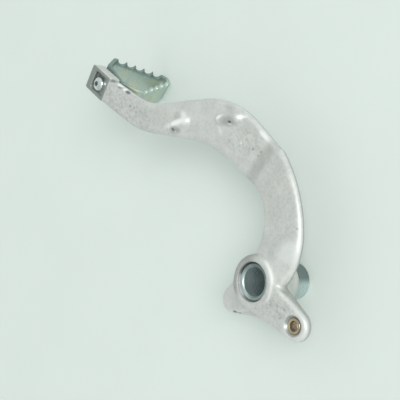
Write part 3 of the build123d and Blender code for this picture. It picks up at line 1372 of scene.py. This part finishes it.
@dataclass
class StepScrew(Maker):
    """Domed screw with a hexagon socket, in the toe block's pocket."""

    node: str = "step_screw"
    slot: str = "bright_fastener"
    finish: PlatedMetal = BRIGHT_STEEL
    shank_radius: float = 2.5
    head_height: float = 3.2
    head_side: float = 1.0
    socket_flats: float = 3.0
    socket_depth: float = 1.8
    socket_flare: float = 0.08
    socket_lip: float = 0.05
    socket_shade: float = 0.55
    dark_share: float = 0.6
    shade_drop: float = 0.3
    dome_start: float = 0.12
    dome_rows: int = 12
    columns: int = 72

    def build(self) -> Piece:
        """Carries rows from the socket's floor out over the dome, down the head and the shank.

        The dome is a quarter of an ellipse. Its inner rows go over from the hexagon to circles.

        Returns:
            The screw.
        """
        low, high = node_box(self.node)
        middle = (low + high)[:2] / 2.0
        rim = (high[0] - low[0]) / 2.0
        crown, base = high[2], high[2] - self.head_height
        floor, side = crown - self.socket_depth, base + self.head_side
        start = math.asin(self.socket_flats / 2.0 / rim) + self.dome_start
        arc = np.linspace(start, math.pi / 2.0, self.dome_rows)
        ones = np.ones(self.columns)
        hexagon = hexagon_radius(self.socket_flats, self.columns)
        shank = self.shank_radius * ones
        radii = np.concatenate([
            [0.0 * ones, hexagon, hexagon + self.socket_flare],
            rim * np.sin(arc)[:, None] * ones,
            [rim * ones, shank, shank, 0.0 * ones],
        ])
        heights = np.concatenate([
            [floor, floor, crown - self.socket_lip],
            side + (crown - side) * np.cos(arc) / math.cos(start),
            [base, base, low[2], low[2]],
        ])
        piece = grid_piece("screw", round_rows(radii, heights, middle))
        # Painted shade in the hexagon socket.
        x, y, z = points_of(piece.data).T
        inner = np.hypot(x - middle[0], y - middle[1]) < self.dark_share * self.socket_flats
        inner &= (z > base) & (z < crown - self.shade_drop)
        paint(piece.data, Mark.GRIME_AND_SHADE, self.socket_shade * inner)
        return piece


@dataclass
class StepNut(Maker):
    """Hexagon nut inside the loop, its corners turned off at both faces."""

    node: str = "step_nut"
    slot: str = "bright_fastener"
    finish: PlatedMetal = BRIGHT_STEEL
    flats: float = 8.0
    bore_radius: float = 2.5
    bevel: float = 0.55
    face_inset: float = 0.15
    columns: int = 96
    crease: float = 25.0

    def build(self) -> Piece:
        """Carries rows from the bore over one face, down the flats and over the other face.

        Returns:
            The nut.
        """
        low, high = node_box(self.node)
        hexagon = hexagon_radius(self.flats, self.columns)
        face = np.full(self.columns, self.flats / 2.0 - self.face_inset)
        bore = np.full(self.columns, self.bore_radius)
        radii = np.stack([bore, face, hexagon, hexagon, face, bore])
        top, foot = high[2], low[2]
        heights = np.array([top, top, top - self.bevel, foot + self.bevel, foot, foot])
        return grid_piece("nut", round_rows(radii, heights, (low + high)[:2] / 2.0), self.crease)


@dataclass
class Studio:
    """Pale floor, soft light from the top of the picture, and the picture's camera."""

    eye: Triple = (264.63, 277.90, 419.49)
    right: Triple = (0.47824, 0.46961, -0.74212)
    up: Triple = (-0.66874, 0.74248, 0.03890)
    back: Triple = (0.56928, 0.47768, 0.66913)
    focal_pixels: float = 1000.0
    sensor: float = 36.0
    clip_near: float = 10.0
    clip_far: float = 50000.0
    sheet: FloorSheet = FloorSheet()
    floor_side: float = 6000.0
    floor_rows: int = 25
    sky_colour: Colour = (0.93, 1.0, 0.97)
    sky_strength: float = 0.66
    lamp_aim: Triple = (-70.0, 25.0, 20.0)
    lamp_way: Triple = (0.54, 0.58, 0.64)
    lamp_distance: float = 5000.0
    lamp_side: float = 2600.0
    lamp_power: float = 125.0

    def floor(self) -> None:
        """Lays a level square grid under the sleeve and the step."""
        half = self.floor_side / 2.0
        ends = np.linspace(-half, half, self.floor_rows)
        x, y = np.meshgrid(ends, ends, indexing="ij")
        points = np.stack([x, y, np.zeros_like(x)], axis=-1).reshape(-1, 3) * MM
        index = np.arange(x.size).reshape(x.shape)
        corners = [index[:-1, :-1], index[1:, :-1], index[1:, 1:], index[:-1, 1:]]
        faces = np.stack(corners, axis=-1).reshape(-1, 4)
        mesh = bpy.data.meshes.new("floor")
        mesh.from_pydata(points.tolist(), [], faces.tolist())
        mesh.materials.append(self.sheet.material())
        floor = bpy.data.objects.new("floor", mesh)
        bpy.context.scene.collection.objects.link(floor)

    def sky(self) -> None:
        """Sets an even pale sky."""
        world = bpy.data.worlds.new("sky")
        world.use_nodes = True
        sky = world.node_tree.nodes["Background"]
        sky.inputs["Color"].default_value = (*self.sky_colour, 1.0)
        sky.inputs["Strength"].default_value = self.sky_strength
        bpy.context.scene.world = world

    def lamp(self) -> None:
        """Hangs a large soft box towards the upper right of the picture, aimed at the pedal."""
        lamp = bpy.data.lights.new("top_box", "AREA")
        lamp.size = self.lamp_side * MM
        lamp.energy = self.lamp_power
        way = Vector(self.lamp_way).normalized()
        place = Vector(self.lamp_aim) * MM + way * self.lamp_distance * MM
        turned = way.to_track_quat("Z", "Y").to_matrix().to_4x4()
        light = bpy.data.objects.new("top_box", lamp)
        light.matrix_world = Matrix.Translation(place) @ turned
        bpy.context.scene.collection.objects.link(light)

    def camera(self) -> None:
        """Sets the camera at the picture's own place and angle."""
        lens = bpy.data.cameras.new("camera")
        lens.sensor_width = self.sensor
        lens.lens = self.focal_pixels * self.sensor / IMAGE_SIDE
        lens.clip_start = self.clip_near * MM
        lens.clip_end = self.clip_far * MM
        camera = bpy.data.objects.new("camera", lens)
        axes = Matrix((self.right, self.up, self.back)).transposed().to_4x4()
        camera.matrix_world = Matrix.Translation(Vector(self.eye) * MM) @ axes
        bpy.context.scene.collection.objects.link(camera)
        bpy.context.scene.camera = camera

    def build(self) -> None:
        """Makes the floor, the light and the camera, with plain display colours."""
        self.floor()
        self.sky()
        self.lamp()
        self.camera()
        bpy.context.scene.view_settings.view_transform = "Standard"


def main() -> None:
    """Builds and dresses every piece, then the studio round them."""
    logging.basicConfig(level=logging.INFO, format="%(name)s: %(message)s")
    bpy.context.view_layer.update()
    for maker in (CastArm(), PivotSleeve(), ClevisBush(), ToeStep(), StepScrew(), StepNut()):
        maker.settle(maker.build())
    Studio().build()


if __name__ == "__main__":
    main()
